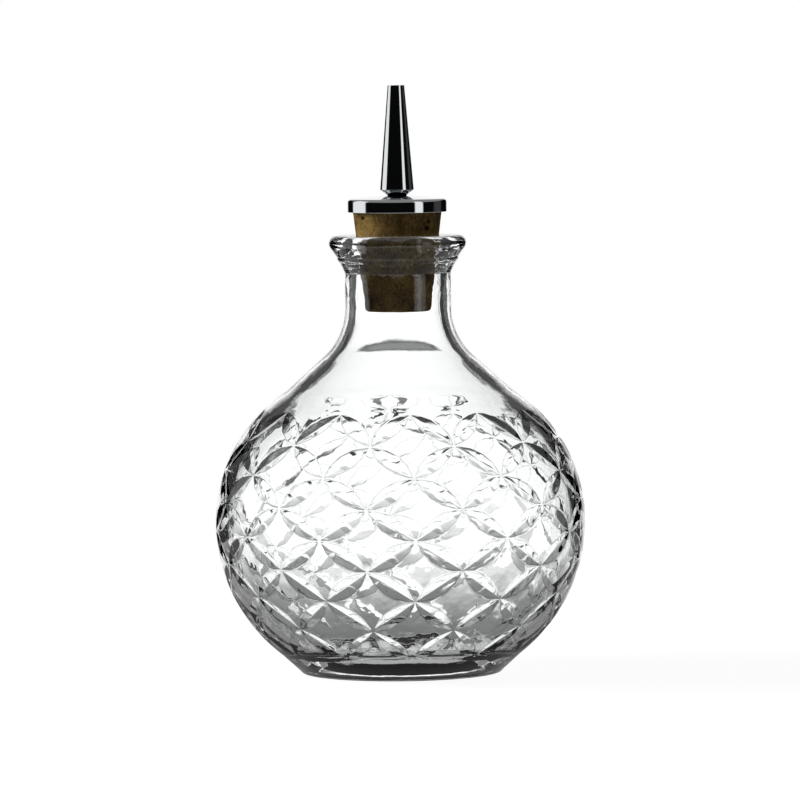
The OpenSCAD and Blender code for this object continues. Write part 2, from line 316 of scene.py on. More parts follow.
class RoundSide:
    """The round side of the bottle and its cuts, worked out from the glass and cut sizes."""

    def __init__(self, glass, cuts):
        self.glass, self.cuts = glass, cuts
        self.pitch = (glass.shoulder_z - cuts.top_gap - cuts.lowest_z) / (cuts.rows - 1)

    def arc_r(self, z):
        """Radius of the side's arc at height z."""
        return np.where(z < self.glass.widest_z, self.glass.lower_arc_r, self.glass.upper_arc_r)

    def radius(self, z, inset=0.0):
        """Radius of the side at height z, drawn inwards by inset: both arcs are centred at the widest height."""
        a = self.arc_r(z)
        return self.glass.body_r - a + np.sqrt(np.maximum((a - inset) ** 2 - (z - self.glass.widest_z) ** 2, 0))

    def crossing(self, row, half_steps):
        """Crossing point of a row, turned by a number of half steps."""
        z = self.cuts.lowest_z + row * self.pitch
        t = self.cuts.turn - np.pi / 2 + half_steps * np.pi / self.cuts.count
        r = self.radius(z)
        return np.stack([r * np.cos(t), r * np.sin(t), z + 0 * t], -1)

    def pushed_out(self, points):
        """Moves points straight out from the centre line of the side's arc until they lie on the side."""
        x, y, z = np.moveaxis(points, -1, 0)
        r = np.hypot(x, y)
        a = self.arc_r(z)
        hub = self.glass.body_r - a
        grow = a / np.hypot(r - hub, z - self.glass.widest_z)
        out = hub + (r - hub) * grow
        height = self.glass.widest_z + (z - self.glass.widest_z) * grow
        return np.stack([x * out / r, y * out / r, height], -1)

    def cut_frame(self, p, q):
        """Axes and sizes of the straight V cut from p to q: its edge runs just under the side."""
        span = np.linalg.norm(q - p, axis=-1, keepdims=True)
        along = (q - p) / span
        middle = (p + q) / 2
        a = self.arc_r(middle[..., 2:])
        flat = middle * [1, 1, 0]
        centre = (self.glass.body_r - a) * flat / np.linalg.norm(flat, axis=-1, keepdims=True)
        centre = centre + np.array([0, 0, self.glass.widest_z])
        spoke = middle - centre
        level = spoke - (spoke * along).sum(-1, keepdims=True) * along
        out = level / np.linalg.norm(level, axis=-1, keepdims=True)
        bulge = a - np.linalg.norm(spoke, axis=-1, keepdims=True)
        depth = bulge * (1 - 2 * self.cuts.tip_gap / span) ** 2
        return {"span": span, "along": along, "out": out, "across": np.cross(out, along), "arc": a,
                "bulge": bulge, "depth": depth, "edge": middle + (bulge - depth) * out,
                "slope": 2 * depth / self.cuts.width}

    def over(self, points, p, q):
        """How far points of the side lie over the flats of the cut from p to q, and the way out of the cut.

        That is a point's height over the valley less the slope times its distance from it: 0 at the rim.
        """
        f = self.cut_frame(p, q)
        offset = points - f["edge"]
        aside = (offset * f["across"]).sum(-1, keepdims=True)
        aside = np.sqrt(aside ** 2 + self.cuts.soft_valley ** 2)
        return (offset * f["out"]).sum(-1, keepdims=True) - aside * f["slope"], f["out"]

    def lowered(self, points, p, q):
        """How far the cut from p to q moves points of the side: down to its two flats, with soft edges.

        Within the soft edge the move grows as a square, so that the flat leaves the side in a small round. A smooth
        step of the rim drop is added there and fades out towards the valley.
        """
        over, out = self.over(points, p, q)
        soft = self.cuts.soft_edge
        sink = np.where(over > soft, over, np.maximum(over + soft, 0) ** 2 / (4 * soft))
        share = np.clip((over + soft) / (2 * soft), 0, 1)
        step = self.cuts.lip * share ** 2 * (3 - 2 * share) * np.exp(-np.maximum(over, 0) / (5 * soft))
        return -(sink + step) * out

    # Painted shade: this mask sets where the glass is tinted dark along the rim of a cut.
    def rim(self, points, p, q):
        """1 on the rim of the cut from p to q, and 0 beyond its soft edge on both sides."""
        over, _ = self.over(points, p, q)
        return np.clip(1 - np.abs(over) / self.cuts.soft_edge, 0, 1)[..., 0]

    def half_width(self, s, p, q):
        """Half the width of the cut from p to q at share s of its length, where its flats leave the round side."""
        f = self.cut_frame(p, q)
        bulge, depth, slope, a = (float(f[k].ravel()[0]) for k in ("bulge", "depth", "slope", "arc"))
        height = np.maximum(4 * bulge * s * (1 - s) - (bulge - depth), 0)
        return a * (np.sqrt(slope ** 2 + 2 * height / a) - slope)


# How far inside the shapes that it joins the heel starts, as in the solid.
FLARE_INSET = 0.1 * MM

# Where the lines of the mesh lie across a cell, as shares of the place of a cut's edge: close together at the
# valley and at the edge of each cut, and wide apart on the plain glass between.
EDGE_AT = 0.15
TIP_AT = 0.02
HALF_LINES = EDGE_AT * np.array([0, 0.05, 0.3, 0.75, 0.9, 0.95, 1, 1.05, 1.1, 1.35, 2.1, 0.5 / EDGE_AT])
LINES = np.concatenate([HALF_LINES, 1 - HALF_LINES[-2::-1]])


def spread(t, low, high):
    """Moves the lines of a cell so that the lines of the cut edges lie at low and at 1 - high."""
    middle = low + (t - EDGE_AT) / (1 - 2 * EDGE_AT) * (1 - high - low)
    return np.where(t < EDGE_AT, low * t / EDGE_AT,
                    np.where(t > 1 - EDGE_AT, 1 - high * (1 - t) / EDGE_AT, middle))


def cell_points(side, low_row):
    """Points of all the diamond cells whose lowest corner is in one row, (cell, line, line, 3), and their rim mask,
    which marks where shade is painted along the rim of each cut.

    A cell is the straight-sided patch between four crossing points, pushed out on the round side and lowered by
    the four cuts on its edges. Its lines follow the edges of those cuts, which takes a few turns of: each line of
    one family is placed by the width of the cuts where it crosses the other family.
    """
    half_steps = 2 * np.arange(side.cuts.count) + low_row % 2
    bottom, top = side.crossing(low_row, half_steps), side.crossing(low_row + 2, half_steps)
    right, left = side.crossing(low_row + 1, half_steps + 1), side.crossing(low_row + 1, half_steps - 1)
    b, r, l, t = bottom[0], right[0], left[0], top[0]

    def shares(s, p, q, across_p, across_q):
        """Half width of a cut as a share of the cell's width across it, with some left at its tips."""
        edge = (q - p) / np.linalg.norm(q - p)
        apart = np.linalg.norm(np.cross(across_q - across_p, edge))
        return np.hypot(side.half_width(s, p, q) / apart, TIP_AT)

    u, v = np.meshgrid(LINES, LINES, indexing="ij")
    i, j = u, v
    for _ in range(8):
        i = spread(u, shares(j, b, l, b, r), shares(j, r, t, l, t))
        j = spread(v, shares(i, b, r, b, l), shares(i, l, t, r, t))
    i, j = i[..., None], j[..., None]
    corners = [c[:, None, None, :] for c in (bottom, right, left, top)]
    bottom, right, left, top = corners
    flat = (1 - i) * (1 - j) * bottom + i * (1 - j) * right + (1 - i) * j * left + i * j * top
    points = side.pushed_out(flat)
    edges = ((bottom, right), (bottom, left), (left, top), (right, top))
    rim_shade_mask = np.max([side.rim(points, p, q) for p, q in edges], axis=0)
    return points + sum(side.lowered(points, p, q) for p, q in edges), rim_shade_mask


def border_points(side, low_row, end_z, down):
    """Points of the columns that join the zigzag edge of the cells to a level ring, (edge, line, step, 3), and their
    rim mask, which marks where shade is painted along the rim of each cut.

    Each column starts at a point of a cut's valley, on the edge of a cell, and keeps its angle while it runs along
    the side to height end_z. Its first steps end at the edge of the cut. The edges come in order round the bottle.
    """
    node = np.arange(2 * side.cuts.count) + low_row % 2
    rows = np.where((node - low_row) % 2 == 0, low_row, low_row + 1)
    next_rows = 2 * low_row + 1 - rows
    p = np.where((rows == low_row)[:, None], side.crossing(low_row, node), side.crossing(low_row + 1, node))
    q = np.where((next_rows == low_row)[:, None],
                 side.crossing(low_row, node + 1), side.crossing(low_row + 1, node + 1))
    s = spread(LINES, TIP_AT, TIP_AT)[None, :, None]
    start = side.pushed_out(p[:, None] + s * (q - p)[:, None])
    f = side.cut_frame(p, q)
    rise = np.abs(f["along"][:, 2:])
    side_z = start[..., 2]
    upright = (side.radius(side_z) - (side.glass.body_r - side.arc_r(side_z))) / side.arc_r(side_z)
    lean = np.clip(rise / upright, 0, 0.999)
    towards = np.where(((q - p)[:, 2:] > 0) == down, -1, 1)
    run = np.zeros_like(side_z)
    for _ in range(8):
        foot = s[..., 0] + towards * run * lean / f["span"]
        run = side.half_width(np.clip(foot, 0, 1), p[0], q[0]) / np.sqrt(1 - lean ** 2)
    room = np.abs(side_z - end_z)
    drop = np.clip(run * upright / room, TIP_AT, 0.6)[..., None]
    steps = np.concatenate([HALF_LINES[:10], [0.27, 0.4, 0.6, 0.8, 1]])
    share = np.where(steps < EDGE_AT, drop * steps / EDGE_AT,
                     drop + (steps - EDGE_AT) / (1 - EDGE_AT) * (1 - drop))
    z = side_z[..., None] + share * (end_z - side_z[..., None])
    angle = np.arctan2(start[..., 1], start[..., 0])[..., None]
    r = side.radius(z)
    points = np.stack([r * np.cos(angle), r * np.sin(angle), z], -1)
    p, q = p[:, None, None, :], q[:, None, None, :]
    return points + side.lowered(points, p, q), side.rim(points, p, q)


def outline_radius(glass, z):
    """Outer radius of the shoulder, neck, bead and lip at height z: the greatest of their own radii there."""
    start = np.array([glass.neck_r + glass.neck_curve_r, glass.neck_z]) - glass.neck_curve_r * np.array(
        [np.cos(glass.shoulder_slope), np.sin(glass.shoulder_slope)])
    hollow = glass.neck_r + glass.neck_curve_r - np.sqrt(
        np.maximum(glass.neck_curve_r ** 2 - (z - glass.neck_z) ** 2, 0))
    neck = np.where(z < start[1], start[0] + (start[1] - z) * np.tan(glass.shoulder_slope),
                    np.where(z < glass.neck_z, hollow, glass.neck_r))
    lip_z = GLASS_HIGH.z - glass.lip_round
    bead_z = lip_z - glass.bead_drop

    def disc(middle_z, r, edge):
        """A disc with a round edge, or nothing beyond its height."""
        inside = edge ** 2 - (z - middle_z) ** 2
        return np.where(inside > 0, r - edge + np.sqrt(np.maximum(inside, 0)), 0)

    def flare(z0, r0, z1, r1):
        """A straight flare between two heights, or nothing beyond them."""
        return np.where((z > z0) & (z < z1), r0 + (z - z0) / (z1 - z0) * (r1 - r0), 0)

    under_bead, under_lip = np.radians(55), np.radians(40)
    return np.max([
        neck,
        disc(bead_z, glass.bead_r, glass.bead_round),
        disc(lip_z, glass.lip_r, glass.lip_round),
        flare(bead_z - glass.neck_flare_h, glass.neck_r,
              bead_z - glass.bead_round * np.sin(under_bead),
              glass.bead_r - glass.bead_round * (1 - np.cos(under_bead))),
        flare(bead_z, glass.bead_r, lip_z - glass.lip_round * np.sin(under_lip),
              glass.lip_r - glass.lip_round * (1 - np.cos(under_lip)))], axis=0)


def glass_profiles(side):
    """Profiles of the plain glass: from the cut side up over the lip and down to the cavity floor, and the base."""
    glass = side.glass
    lip_z = GLASS_HIGH.z - glass.lip_round
    z = np.linspace(glass.shoulder_z - 0.1 * MM, lip_z, 2000)
    # The plain shoulder crosses the round side, and the two flow into each other where they lie close.
    plain, band = outline_radius(glass, z), side.radius(z)
    close = np.maximum(1 - np.abs(plain - band) / glass.blend, 0)
    outer = np.maximum(plain, band) + glass.blend / 4 * close ** 2
    shoulder = np.concatenate([
        np.stack([outer, z], -1),
        arc((glass.lip_r - glass.lip_round, lip_z), glass.lip_round, 0, 90),
        arc((glass.mouth_r + glass.mouth_round, GLASS_HIGH.z - glass.mouth_round), glass.mouth_round, 90, 180),
        [[glass.mouth_r, GLASS_HIGH.z - 3 * MM]]])

    start = np.array([glass.mouth_r + glass.inner_curve_r, glass.neck_z]) - glass.inner_curve_r * np.array(
        [np.cos(glass.shoulder_slope), np.sin(glass.shoulder_slope)])
    z = np.linspace(GLASS_HIGH.z - 3 * MM, glass.floor_z, 3000)
    hollow = glass.mouth_r + glass.inner_curve_r - np.sqrt(
        np.maximum(glass.inner_curve_r ** 2 - (z - glass.neck_z) ** 2, 0))
    neck = np.where(z < start[1], start[0] + (start[1] - z) * np.tan(glass.shoulder_slope),
                    np.where(z < glass.neck_z, hollow, glass.mouth_r))
    neck = np.where(z > glass.inner_shoulder_z, neck, 0)
    dish_z = glass.floor_z + glass.floor_dish_r
    dish = np.sqrt(np.maximum(glass.floor_dish_r ** 2 - (dish_z - z) ** 2, 0))
    body = np.where(z < glass.neck_z, side.radius(z, glass.wall), 0)
    cavity = np.stack([np.where(z > glass.widest_z, np.maximum(body, neck), np.minimum(body, dish)), z], -1)

    z = np.linspace(side.cuts.lowest_z - 1.3 * MM, 0, 600)
    lean = np.arctan(glass.heel_lean)
    inside = glass.foot_round - FLARE_INSET
    heel_r, heel_z = glass.foot_r + inside * np.cos(lean), glass.foot_round - inside * np.sin(lean)
    heel = np.where(z > heel_z, heel_r + glass.heel_lean * (z - heel_z), 0)
    rounded = glass.foot_r + np.sqrt(np.maximum(glass.foot_round ** 2 - (glass.foot_round - z) ** 2, 0))
    heel = np.max([side.radius(z), heel, np.where(z < glass.foot_round, rounded, 0)], axis=0)
    ring_r = glass.foot_r - glass.foot_ring_w
    base = np.concatenate([
        np.stack([heel, z], -1),
        [[ring_r, 0], [ring_r - 2 * glass.push_up, glass.push_up], [0, glass.push_up]]])
    return (softened(shoulder, 0.3 * MM, 9), softened(cavity, 2.5 * MM, 7), softened(base, 0.6 * MM, 9))


class BITTERS_OT_glass(bpy.types.Operator):
    """Makes the glass bottle: cut round side, shoulder, neck, lip, cavity and base as one closed shell."""
    bl_idname = "bitters.glass"
    bl_label = "Glass bottle"

    def execute(self, context):
        settings = context.scene.bitters
        side = RoundSide(settings.glass, settings.cuts)
        n = len(LINES)
        points, rim_shade_mask, quads, strips, count = [], [], [], [], 0
        for row in range(settings.cuts.rows - 2):
            cells, cell_rim_shade_mask = cell_points(side, row)
            points.append(cells.reshape(-1, 3))
            rim_shade_mask.append(cell_rim_shade_mask.ravel())
            for _ in cells:
                quads.append(grid_quads(n, n, count)[:, ::-1])
                count += n * n
        ends = []
        for row, end_z, down in ((0, settings.cuts.lowest_z - 1.2 * MM, True),
                                 (settings.cuts.rows - 2, settings.glass.shoulder_z - 0.3 * MM, False)):
            edges, edge_rim_shade_mask = border_points(side, row, end_z, down)
            steps = edges.shape[2]
            # All the columns in one closed ring: the last line of each edge is the first of the next.
            ring = edges[:, :-1].reshape(-1, steps, 3).swapaxes(0, 1)
            columns = ring.shape[1]
            points.append(ring.reshape(-1, 3))
            rim_shade_mask.append(edge_rim_shade_mask[:, :-1].reshape(-1, steps).T.ravel())
            own = grid_quads(steps, columns, count, closed=True)
            quads.append(own[:, ::-1] if down else own)
            last = count + (steps - 1) * columns + np.arange(columns)
            ends.append((last, np.unwrap(np.arctan2(ring[-1, :, 1], ring[-1, :, 0]))))
            count += steps * columns
        angles = np.linspace(0, 2 * np.pi, 160, endpoint=False) + ends[0][1][0]
        cut_side = count
        shoulder, cavity, base = glass_profiles(side)
        upper = np.concatenate([shoulder, cavity[1:]])
        for profile, (ring, ring_angles), down in ((base, ends[0], True), (upper, ends[1], False)):
            points.append(turned(profile, angles).reshape(-1, 3))
            own = grid_quads(len(profile), len(angles), count, closed=True)
            first = count + np.arange(len(angles))
            strip = zipped(ring, ring_angles, first, angles)
            quads.append(own[:, ::-1] if down else own)
            strips.append(strip[:, ::-1] if down else strip)
            count += len(profile) * len(angles)
        points = np.concatenate(points)
        # Painted shade: the rim mask tints the glass dark along the rim of each cut; the plain glass takes none.
        rim_shade_mask = np.r_[np.concatenate(rim_shade_mask), np.zeros(count - cut_side)]
        bottle = new_piece("cut_glass_bottle", points, np.concatenate(quads), clear_glass(settings.glass),
                           np.concatenate(strips), rim=rim_shade_mask, waves=wave_heights(side, points))
        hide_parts("glass_bottle")
        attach(bottle, "bottle")
        return {"FINISHED"}


def wave_heights(side, points):
    """Height of the waves in the glass at each point, in metres.

    The outside, which the mould polished, has faint waves. The inside of the body, where the glass was blown free,
    has deep ones low down that die away upwards, and the neck and the lip have middling ones.
    """
    r, z = np.hypot(points[:, 0], points[:, 1]), points[:, 2]
    inner = (r < side.radius(np.minimum(z, side.glass.shoulder_z), side.glass.wall / 2)) & (r > 18 * MM)
    inner &= z > side.glass.floor_z
    low = np.clip((44 * MM - z) / (34 * MM), 0, 1)
    neck = np.clip((z - 84 * MM) / (10 * MM), 0, 1)
    lip = np.clip((z - 97 * MM) / (4 * MM), 0, 1)
    return (0.03 + inner * 0.12 * low + 0.1 * neck + 0.2 * lip) * MM


def clear_glass(glass):
    """Pressed soda-lime glass, fire-polished: clear, with long waves left by the mould, and painted shade: a thin
    dark tint along the rim of each cut, where the glass turns sharply."""
    material, output = new_material("pressed_soda_lime_glass")
    tree = material.node_tree
    place = add(tree, "TexCoord").outputs["Object"]
    # Waves about 5 mm apart, whose height the mesh gives.
    waves = add(tree, "TexNoise", {"Vector": place, "Scale": 1 / (5 * MM), "Detail": 2.0, "Roughness": 0.5})
    height = add(tree, "Attribute", attribute_name="waves")
    bump = add(tree, "Bump", {"Height": waves.outputs["Fac"], "Strength": 1.0, "Distance": height.outputs["Fac"]})
    # Painted shade: the rim mask mixes the dark rim tint into the glass colour.
    rim = add(tree, "Attribute", attribute_name="rim")
    body = add(tree, "Mix", {"Factor": rim.outputs["Fac"], "A": tuple(glass.tint), "B": tuple(glass.rim_painted_shade)},
               data_type="RGBA")
    shader = add(tree, "BsdfPrincipled", {
        "Base Color": body.outputs["Result"], "Transmission Weight": 1.0, "Roughness": 0.0, "IOR": 1.52,
        "Normal": bump.outputs["Normal"]})
    tree.links.new(shader.outputs["BSDF"], output.inputs["Surface"])
    return material


def natural_cork(stopper):
    """Natural cork, punched and ground: warm brown with darker grain and open pores."""
    material, output = new_material("natural_punched_cork")
    tree = material.node_tree
    place = add(tree, "TexCoord").outputs["Object"]
    # Patches of lighter and darker cork about 5 mm across, and fine grain about 0.5 mm across.
    patches = add(tree, "TexNoise", {"Vector": place, "Scale": 1 / (5 * MM), "Detail": 3.0, "Roughness": 0.6})
    grain = add(tree, "TexNoise", {"Vector": place, "Scale": 1 / (0.5 * MM), "Detail": 4.0, "Roughness": 0.7})
    both = add(tree, "Math", {0: patches.outputs["Fac"], 1: grain.outputs["Fac"]}, operation="MULTIPLY")
    share = add(tree, "MapRange", {"Value": both.outputs["Value"], "From Min": 0.14, "From Max": 0.36})
    wood = add(tree, "Mix", {"Factor": share.outputs["Result"], "A": tuple(stopper.cork_dark),
                             "B": tuple(stopper.cork_light)}, data_type="RGBA")
    # Painted shade in part: the pore colour mixes in by the depth of each pore.
    depth = add(tree, "Attribute", attribute_name="pore_depth")
    surface = add(tree, "Mix", {"Factor": depth.outputs["Fac"], "A": wood.outputs["Result"],
                                "B": tuple(stopper.pore_colour_and_shade)}, data_type="RGBA")
    bump = add(tree, "Bump", {"Height": grain.outputs["Fac"], "Strength": 0.6, "Distance": 0.12 * MM})
    shader = add(tree, "BsdfPrincipled", {
        "Base Color": surface.outputs["Result"], "Roughness": 0.85, "Specular IOR Level": 0.1,
        "Normal": bump.outputs["Normal"]})
    tree.links.new(shader.outputs["BSDF"], output.inputs["Surface"])
    return material


def chromed_brass():
    """Bright chrome plate on turned metal: a mirror with the faintest turning marks."""
    material, output = new_material("polished_chrome_plate")
    tree = material.node_tree
    place = add(tree, "TexCoord").outputs["Object"]
    # Turning marks about 0.4 mm apart run round the axis.
    level = add(tree, "Mapping", {"Vector": place, "Scale": (0.02, 0.02, 1)})
    marks = add(tree, "TexNoise", {"Vector": level.outputs["Vector"], "Scale": 1 / (0.4 * MM), "Detail": 2.0})
    bump = add(tree, "Bump", {"Height": marks.outputs["Fac"], "Strength": 0.15, "Distance": 0.004 * MM})
    shader = add(tree, "BsdfPrincipled", {
        "Base Color": linear("#DFE2E4"), "Metallic": 1.0, "Roughness": 0.04, "Normal": bump.outputs["Normal"]})
    tree.links.new(shader.outputs["BSDF"], output.inputs["Surface"])
    return material


def drawn_steel():
    """Drawn steel tube: grey metal with fine lines along its length."""
    material, output = new_material("drawn_steel_tube")
    tree = material.node_tree
    place = add(tree, "TexCoord").outputs["Object"]
    # Drawing lines about 0.2 mm apart run along the tube.
    level = add(tree, "Mapping", {"Vector": place, "Scale": (1, 1, 0.02)})
    lines = add(tree, "TexNoise", {"Vector": level.outputs["Vector"], "Scale": 1 / (0.2 * MM), "Detail": 2.0})
    rough = add(tree, "MapRange", {"Value": lines.outputs["Fac"], "To Min": 0.22, "To Max": 0.4})
    bump = add(tree, "Bump", {"Height": lines.outputs["Fac"], "Strength": 0.2, "Distance": 0.01 * MM})
    shader = add(tree, "BsdfPrincipled", {
        "Base Color": linear("#B4B7B9"), "Metallic": 1.0, "Roughness": rough.outputs["Result"],
        "Normal": bump.outputs["Normal"]})
    tree.links.new(shader.outputs["BSDF"], output.inputs["Surface"])
    return material


class BITTERS_OT_cork(bpy.types.Operator):
    """Makes the tapered cork, bored through, with open pores in its side."""
    bl_idname = "bitters.cork"
    bl_label = "Cork"

    def execute(self, context):
        s = context.scene.bitters.stopper
        low, high = CORK_LOW.z, CORK_HIGH.z
        head_r, skirt_z = CORK_HIGH.x, COLLAR_LOW.z

        def cork_r(z):
            """Radius of the tapered side at height z."""
            return s.cork_seat_r + s.cork_taper * (z - RIM_Z)

        bore, recess = s.tube_r + s.press_gap, TUBE_HIGH.x + s.press_gap
        outside = softened([
            [recess, high], [head_r - s.cork_edge, high], [head_r, high - s.cork_edge],
            [head_r, skirt_z], [cork_r(skirt_z), skirt_z],
            [cork_r(low + s.cork_edge), low + s.cork_edge], [cork_r(low) - s.cork_edge, low],
            [bore, low]], 0.25 * MM, 12, 0.28 * MM)
        inside = np.array([[bore, TUBE_HIGH.z - s.flange_t], [recess, TUBE_HIGH.z - s.flange_t]])
        profile = np.concatenate([outside, inside])
        angles = np.linspace(0, 2 * np.pi, 256, endpoint=False)
        points = turned(profile, angles)
        sink, normal = cork_pores(s, outside, points[:len(outside)], angles)
        points[:len(outside)] -= sink[..., None] * normal
        shade = np.zeros(points.shape[:2])
        # Painted shade in part: a pore darkens with its depth, up to its full colour at 0.12 mm.
        shade[:len(outside)] = np.clip(sink / (0.12 * MM), 0, 1)
        cork = new_piece("cork", points.reshape(-1, 3), closed_quads(*points.shape[:2]), natural_cork(s),
                         pore_depth=shade.ravel())
        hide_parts("cork_stopper")
        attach(cork, "stopper")
        return {"FINISHED"}


def cork_pores(s, profile, points, angles):
    """How deep each point of the cork's outside lies in a pore, and the direction out of the cork there.

    A pore is a bowl, longer round the cork than up it: its depth falls with the square of the distance from its
    middle, measured in its own length and height. The bowls are dug square to the profile.
    """
    random = np.random.default_rng(7)
    count = s.pore_count
    pore_angle = random.uniform(0, 2 * np.pi, count)
    pore_z = random.uniform(CORK_LOW.z, COLLAR_LOW.z, count)
    # Most pores are small and a few are large: lengths from 0.15 to about 1.2 mm.
    pore_long = 0.15 * MM + random.uniform(0, 1, count) ** 3 * 1.1 * MM
    pore_tall = pore_long * random.uniform(0.35, 0.9, count)
    around = (angles[None, :, None] - pore_angle + np.pi) % (2 * np.pi) - np.pi
    r, z = profile[:, 0, None, None], profile[:, 1, None, None]
    away = np.hypot(around * r / pore_long, (z - pore_z) / pore_tall)
    sink = (np.minimum(pore_tall, 0.45 * MM) * np.clip(1 - away ** 2, 0, 1)).max(-1)
    along = np.gradient(profile, axis=0)
    along /= np.linalg.norm(along, axis=1, keepdims=True)
    out_r, out_z = -along[:, 1, None], along[:, 0, None]
    # The ends of the cork are left flat.
    sink = sink * (np.abs(out_r) > 0.9)
    normal = np.stack([out_r * np.cos(angles), out_r * np.sin(angles), out_z + 0 * angles], -1)
    return sink, normal


def closed_quads(rows, columns):
    """Quads of a closed profile, running down its outside, that is turned right round."""
    return grid_quads(rows + 1, columns, closed=True)[:, ::-1] % (rows * columns)


def turned_piece(name, profile, material, node):
    """A closed profile turned about the Z axis, which stands for a node of the stopper."""
    angles = np.linspace(0, 2 * np.pi, 192, endpoint=False)
    points = turned(profile, angles)
    piece = new_piece(name, points.reshape(-1, 3), closed_quads(*points.shape[:2]), material)
    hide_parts(node)
    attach(piece, "stopper")
    return piece


class BITTERS_OT_metal(bpy.types.Operator):
    """Makes the chromed collar and spout, and gives the tube in the cork its steel."""
    bl_idname = "bitters.metal"
    bl_label = "Collar, spout and tube"

    def execute(self, context):
        s = context.scene.bitters.stopper
        chrome = chromed_brass()
        collar_r, skirt_z, collar_top = COLLAR_HIGH.x, COLLAR_LOW.z, COLLAR_HIGH.z
        collar_z = RIM_Z + s.collar_lift
        bore = collar_r - s.collar_wall
        hole = s.spigot_r + s.press_gap
        edge = arc((collar_r - s.collar_round, collar_z + s.collar_wall - s.collar_round), s.collar_round, 90, 0, 12)
        outside = softened(np.concatenate([
            [[hole, collar_top], [s.spout_base_r, collar_top]], edge,
            [[collar_r, skirt_z], [bore, skirt_z], [bore, collar_z], [hole, collar_z]]]), 0.12 * MM, 6, 2 * MM)
        turned_piece("chrome_collar", outside, chrome, "collar_cap")

        top = SPOUT_HIGH.z
        spout = softened([
            [s.tip_hole_r, top], [s.spout_tip_r, top], [s.spout_base_r, collar_top + s.chamfer_h],
            [s.spout_foot_r, collar_top], [s.spigot_r, collar_top], [s.spigot_r, SPOUT_LOW.z],
            [s.bore_r, SPOUT_LOW.z], [s.bore_r, top - s.tip_hole_len],
            [s.tip_hole_r, top - s.tip_hole_len], [s.tip_hole_r, top]], 0.1 * MM, 6, 3 * MM)
        turned_piece("chrome_spout", spout, chrome, "spout_cone")

        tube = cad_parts["stem_tube"]
        for slot in tube.material_slots:
            slot.material = drawn_steel()
        return {"FINISHED"}


def studio_world(scene):
    """A white studio: pure white to the camera, soft light on what is dull, and a plain layout of boards and
    soft boxes for what chrome reflects and what glass shows behind it."""
    world = bpy.data.worlds.new("white_studio")
    world.use_nodes = True
    world.cycles.sampling_method = "NONE"
    tree = world.node_tree
    tree.nodes.clear()
    output = add(tree, "OutputWorld")
    direction = add(tree, "SeparateXYZ", {"Vector": add(tree, "TexCoord").outputs["Generated"]})
    x, y, z = (direction.outputs[k] for k in "XYZ")
    path = add(tree, "LightPath").outputs

    def math(kind, *values):
        """One arithmetic step."""
        return add(tree, "Math", dict(enumerate(values)), operation=kind).outputs["Value"]

    def window(value, low, high, soft):
        """1 between low and high, falling to 0 over soft on each side."""
        rise = add(tree, "MapRange", {"Value": value, "From Min": low - soft, "From Max": low + soft},
                   interpolation_type="SMOOTHSTEP").outputs["Result"]
        fall = add(tree, "MapRange", {"Value": value, "From Min": high - soft, "From Max": high + soft,
                                      "To Min": 1.0, "To Max": 0.0},
                   interpolation_type="SMOOTHSTEP").outputs["Result"]
        return math("MULTIPLY", rise, fall)

    # Angle round the bottle in degrees: 0 is towards the camera, and it grows to the camera's right.
    turn = math("DEGREES", math("ARCTAN2", x, math("MULTIPLY", y, -1.0)))
    # Soft boxes that the chrome reflects: left, front right, the white backdrop, and the dim room on the right.
    boxes = [window(turn, -123, -79, 3), window(turn, 42, 62, 2), window(math("ABSOLUTE", turn), 160, 200, 4)]
    shine = math("MAXIMUM", math("MAXIMUM", boxes[0], boxes[1]), boxes[2])
    shine = math("MAXIMUM", shine, math("MULTIPLY", window(turn, 95, 122, 5), 0.05))
    height = math("DEGREES", math("ARCSINE", z))
    overhead = math("MULTIPLY", window(height, 21, 120, 5), 0.25)
    shine = math("MAXIMUM", math("MULTIPLY", shine, window(height, -30, 40, 6)), math("MAXIMUM", overhead, 0.003))

    # What the glass shows: a wide white backdrop, white panels every 45 degrees round the rest, and dark between.
    sector = math("PINGPONG", math("ADD", turn, 360.0), 22.5)
    panel = math("MAXIMUM", window(sector, -1, 12.5, 2), window(math("ABSOLUTE", turn), 150, 200, 3))
    above = window(height, -11, 9, 1.5)
    ceiling = math("MULTIPLY", window(height, 50, 120, 8), 0.12)
    low = math("MULTIPLY", window(height, -100, -12, 1.5), 0.22)
    seen = math("MAXIMUM", math("MULTIPLY", panel, above), math("MAXIMUM", math("MAXIMUM", ceiling, low), 0.02))
    # The four surfaces of the glass take a fifth of the light, which this makes up for.
    seen = math("MULTIPLY", seen, 1.25)

    dull = math("GREATER_THAN", path["Diffuse Depth"], 0.5)
    clear = math("MULTIPLY", path["Is Transmission Ray"], math("SUBTRACT", 1.0, dull))
    glossy = math("MULTIPLY", path["Is Glossy Ray"], math("SUBTRACT", 1.0, dull))
    # Light that was reflected inside the glass comes from the soft boxes too, and only from low ones.
    mirrored = math("GREATER_THAN", path["Glossy Depth"], 0.5)
    inside = math("MULTIPLY", math("MULTIPLY", shine, 1.25), window(height, -60, 7, 2))
    inside = math("MAXIMUM", inside, 0.04)

    def chosen(share, when, otherwise):
        """One brightness when share is 1, and the other when it is 0."""
        return add(tree, "Mix", {"Factor": share, "A": otherwise, "B": when}).outputs["Result"]

    # A ray through clear glass counts as glossy too, so the choice for glass comes second.
    strength = chosen(glossy, shine, 0.03)
    strength = chosen(clear, chosen(mirrored, inside, seen), strength)
    strength = chosen(path["Is Camera Ray"], 1.0, strength)
    background = add(tree, "Background", {"Color": (1, 1, 1, 1), "Strength": strength})
    tree.links.new(background.outputs["Background"], output.inputs["Surface"])
    scene.world = world


